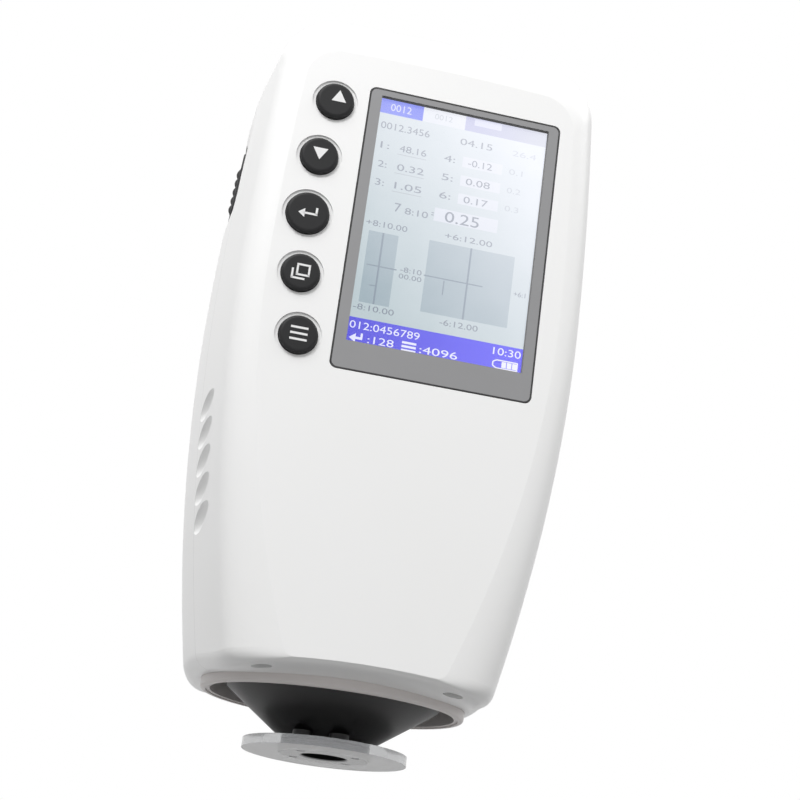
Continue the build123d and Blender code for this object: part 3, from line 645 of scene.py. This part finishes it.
# Test button: the cap with fuller grip ridges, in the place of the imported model's own
button = {"centre": (-50.2 * mm, -4.5 * mm, 165.0 * mm), "tilt": dish["tilt"], "half": (6.8 * mm, 13.49 * mm),
          "proud": 1.2 * mm, "back": 2.2 * mm, "edge": 0.7 * mm, "tip": 0.05 * mm,
          "ridges": 5, "pitch": 3.1 * mm, "shift": 0.4 * mm, "ridge": (2.4 * mm, 1.0 * mm, 0.8 * mm),
          "rows": 261, "columns": 41, "crease": radians(40)}


def ringFaces(rows, columns):
    # quads between neighbouring rows of points, each row a closed ring, and a cap at both ends
    here = np.arange(rows * columns).reshape(rows, columns)
    after = np.roll(here, -1, axis=1)
    faces = np.stack([here[:-1], here[1:], after[1:], after[:-1]], axis=-1).reshape(-1, 4).tolist()
    return faces + [here[0].tolist(), here[-1, ::-1].tolist()]


def testButton():
    # height over the face = proud, less a quarter-round at the edge, plus the ridges: each ridge is a half
    # ellipse up the button, times a parabola across it
    wide, high = button["half"]
    up = high * np.sin(np.linspace(-pi / 2, pi / 2, button["rows"]))[:, None]
    beyond = np.maximum(np.abs(up) - (high - wide), 0)
    half = np.sqrt(np.maximum(wide ** 2 - beyond ** 2, button["tip"] ** 2))
    across = half * np.sin(np.linspace(-pi / 2, pi / 2, button["columns"]))[None, :]
    inward = np.clip((wide - np.hypot(across, beyond)) / button["edge"], 0, 1)
    height = button["proud"] - button["edge"] * (1 - np.sqrt(1 - (1 - inward) ** 2))
    length, breadth, rise = button["ridge"]
    for index in range(button["ridges"]):
        middle = button["shift"] + (index - (button["ridges"] - 1) / 2) * button["pitch"]
        crest = np.sqrt(np.maximum(1 - ((up - middle) / breadth) ** 2, 0))
        height = height + rise * crest * np.maximum(1 - (across / length) ** 2, 0)
    foot = np.full((button["rows"], 1), -button["back"])
    across = np.concatenate([across[:, :1], across, across[:, -1:]], axis=1)
    height = np.concatenate([foot, height, foot], axis=1)
    up = np.broadcast_to(up, across.shape)
    x, y, z = button["centre"]
    points = np.stack([x + up * sin(button["tilt"]) - height * cos(button["tilt"]), y + across,
                       z + up * cos(button["tilt"]) + height * sin(button["tilt"])], axis=-1)
    made = putMesh("test_button_grip", points, ringFaces(*across.shape), smooth=True)
    made.data.set_sharp_from_angle(angle=button["crease"])
    wear(made, slotFinish["button_black"], "test_button_body")
    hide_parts("test_button")


testButton()
print("test button ridged")


# Display: a lit glass in the window's opening, with its picture in thin layers in front of it
picture = {"back": 3.19 * mm, "thick": 0.012 * mm, "fade": (0.48, 10.8, 10.8), "along": (0.5, 20.4, 0.0),
           "cloud": 9 * mm, "cloudShare": 0.12, "unlit": (0.01, 0.01, 0.01, 1), "rough": 0.4, "glow": 1.0}
ink = {
    "paper": (paint(176, 192, 198), paint(243, 246, 253), "fade"),
    "plot": (paint(143, 163, 174), paint(228, 233, 241), "fade"),
    "box": (paint(206, 213, 226), paint(246, 247, 254), "fade"),
    "axis": (paint(118, 134, 150), paint(190, 197, 210), "fade"),
    "figure": (paint(112, 124, 142), paint(196, 199, 210), "fade"),
    "faint": (paint(160, 172, 178), paint(226, 229, 238), "fade"),
    "tab": (paint(145, 154, 245), paint(140, 148, 243), "along"),
    "paleTab": (paint(190, 190, 236), paint(227, 229, 240), "along"),
    "footer": (paint(41, 31, 214), paint(104, 98, 250), "along"),
    "white": (paint(222, 224, 250), paint(240, 241, 252), "along"),
}


def litFinish(name):
    # glows by itself: between two colours, by how far a point is right of the centre and above it
    dark, bright, course = ink[name]
    centre, right, up = picture[course]
    material, start = newMaterial(name + "Lit")
    place, x, upward = faceCoordinates(start)
    cloud = noise(start, place, picture["cloud"]) - 0.5
    factor = (x - float(displayCentre[0])) * right + (upward - float(displayCentre[1])) * up + centre
    factor = start.maths("ADD", factor, cloud * picture["cloudShare"], clamp=True)
    values = {"Base Color": picture["unlit"], "Roughness": picture["rough"],
              "Emission Strength": picture["glow"], "Emission Color": mixColour(start, factor, dark, bright)}
    output(start, principled(start, values))
    return material


def rows(values, left, right, levels, height):
    # figures under each other, one to a row
    return [figures(words, left, right, level, height) for words, level in zip(values, levels)]


# The picture, in millimetres from the display's centre: each layer's ink, its step forward and its plates
halfWide, halfHigh = (side / 2 / mm for side in display["size"])
levels = (22.5, 16.7, 11.1)
layers = [
    ("paper", 0, [slab(box(-halfWide, halfWide, -halfHigh, halfHigh))]),
    ("tab", 1, [slab(box(-halfWide, -12.0, 32.3, halfHigh))]),
    ("box", 1, [slab(box(-12.0, 0.4, 32.3, halfHigh)), slab(box(-5.1, 13.2, 3.0, 7.0))]
        + [slab(box(1.0, 12.6, level - 1.6, level + 1.6)) for level in levels]),
    ("paleTab", 1, [slab(box(0.4, halfWide, 32.3, halfHigh))]),
    ("plot", 1, [slab(box(-22.5, -14.1, -24.8, -3.7)), slab(box(-5.4, 19.2, -24.2, -3.0))]),
    ("footer", 1, [slab(box(-halfWide, halfWide, -halfHigh, -29.4))]),
    ("faint", 2, [slab(bar((-17.8, level - 1.9), (-9.4, level - 1.9), 0.25)) for level in levels]
        + [figures("0012", -8.6, -3.4, 34.6, 1.7), figures("26.4", 15.0, 22.0, 28.4, 1.7)]
        + rows(("0.1", "0.2", "0.3"), 14.6, 18.6, levels, 1.7)),
    ("axis", 2, [slab(bar(*ends, width)) for *ends, width in (
        ((-18.4, -24.8), (-18.4, -3.7), 0.5), ((-21.8, -13.7), (-13.4, -13.7), 0.35),
        ((-20.3, -19.5), (-18.4, -19.5), 0.3), ((6.6, -24.2), (6.6, -3.0), 0.5),
        ((-5.7, -13.6), (11.0, -13.6), 0.35), ((0.1, -18.3), (0.1, -14.1), 0.35))]),
    ("figure", 2, rows(("48.16", "0.32", "1.05"), -17.3, -9.6, levels, 2.0)
        + rows(("1:", "2:", "3:"), -22.8, -20.3, levels, 2.0)
        + rows(("4:", "5:", "6:"), -4.4, -1.2, levels, 2.0)
        + rows(("-0.12", "0.08", "0.17"), 2.6, 9.6, levels, 2.0)
        + [figures("0012.3456", -23.5, -9.4, 28.6, 2.1), figures("04.15", -0.4, 9.0, 28.6, 2.0),
           figures("7", -16.4, -14.6, 4.6, 2.6), figures("8:10", -13.4, -6.8, 4.1, 1.9),
           figures("=", -5.9, -5.2, 4.9, 0.9), figures("0.25", -2.0, 7.8, 4.9, 3.2),
           figures("+8:10.00", -23.6, -12.0, -1.3, 1.7), figures("+6:12.00", -1.3, 12.3, -0.7, 1.7),
           figures("-8:10", -12.4, -6.4, -13.2, 1.5), figures("00.00", -12.6, -6.2, -15.2, 1.4),
           figures("+6:1", 20.0, 23.4, -13.8, 1.4), figures("-8:10.00", -23.8, -12.5, -26.2, 1.7),
           figures("-6:12.00", 0.3, 11.1, -26.1, 1.7)]),
    ("white", 3, [figures("0012", -21.4, -15.4, 34.5, 2.2), slab(box(3.0, 11.0, 34.4, 36.4)),
                  figures("012:0456789", -24.0, -4.6, -31.5, 2.1), figures("10:30", 16.1, 24.0, -31.3, 2.1),
                  figures(":128", -18.6, -11.4, -35.0, 2.1), figures(":4096", -4.2, 6.4, -35.0, 2.1),
                  slab([(-23.7, -35.3), (-21.9, -33.9), (-21.9, -36.5)]),
                  slab(bar((-22.2, -35.2), (-20.1, -35.2), 0.7)),
                  slab(bar((-20.3, -35.4), (-20.3, -33.7), 0.6))]
        + [slab(bar((-9.2, level), (-5.2, level), 0.65)) for level in (-33.9, -35.0, -36.1)]
        + [slab(bar(*ends, 0.35)) for ends in (
            ((17.4, -33.8), (23.4, -33.8)), ((17.4, -36.1), (23.4, -36.1)), ((23.3, -36.1), (23.3, -33.8)),
            ((17.4, -33.8), (16.4, -34.4)), ((17.4, -36.1), (16.4, -35.5)), ((16.4, -34.4), (16.4, -35.5)))]
        + [slab(box(left, left + 1.3, -35.8, -34.1)) for left in (18.9, 20.4, 21.9)]),
]


def makeDisplay():
    # each layer stands a little further forward than the one under it, and the first is the glass itself
    for name, step, solids in layers:
        high = step * picture["thick"] - display["front"]
        low = high - picture["thick"] if step else -picture["back"]
        wear(layer("display_" + name, solids, displayCentre, low, high), litFinish(name))


makeDisplay()
print("display lit")


# Key symbols, printed white on the caps, in millimetres from each cap's centre
keys = {"names": ("up", "down", "enter", "back", "menu"), "column": -32.6 * mm, "arc": 227.0 * mm,
        "pitch": 17.4 * mm, "proud": 1.2 * mm, "ink": 0.03 * mm}
symbols = {
    "up": [slab([(-1.2, -0.4), (2.9, -0.4), (0.8, 3.1)])],
    "down": [slab([(-2.1, 2.0), (2.1, 2.0), (0.0, -1.5)])],
    "enter": [slab([(-2.7, -0.5), (-0.9, 0.8), (-0.9, -1.8)]), slab(bar((-1.2, -0.5), (2.6, -0.5), 0.6)),
              slab(bar((2.3, -0.5), (2.3, 1.5), 0.6))],
    "back": [slab(bar(*ends, 0.55)) for ends in (
        ((-1.3, 1.9), (2.4, 1.9)), ((-1.3, -1.0), (2.4, -1.0)), ((-1.05, -1.0), (-1.05, 1.9)),
        ((2.15, -1.0), (2.15, 1.9)), ((-2.3, 0.6), (-2.3, -2.3)), ((-2.5, -2.1), (1.2, -2.1)))],
    "menu": [slab(bar((-2.35, level), (2.35, level), 0.6)) for level in (1.65, 0.0, -1.65)],
}


def makeSymbols():
    # a key stands on an arc: its centre moves in by the square of its rise over twice the arc's radius
    material = plainFinish("whiteInk", paint(236, 236, 236), 0.5, 0.2 * mm)
    for index, name in enumerate(keys["names"]):
        rise = (2 - index) * keys["pitch"]
        centre = (keys["column"] + rise * rise / (2 * keys["arc"]), upFace(window["centre"][1]) + rise)
        made = layer("symbol_" + name, symbols[name], centre, keys["proud"], keys["proud"] + keys["ink"])
        wear(made, material, "key_" + name + "_body")


makeSymbols()
print("keys printed")
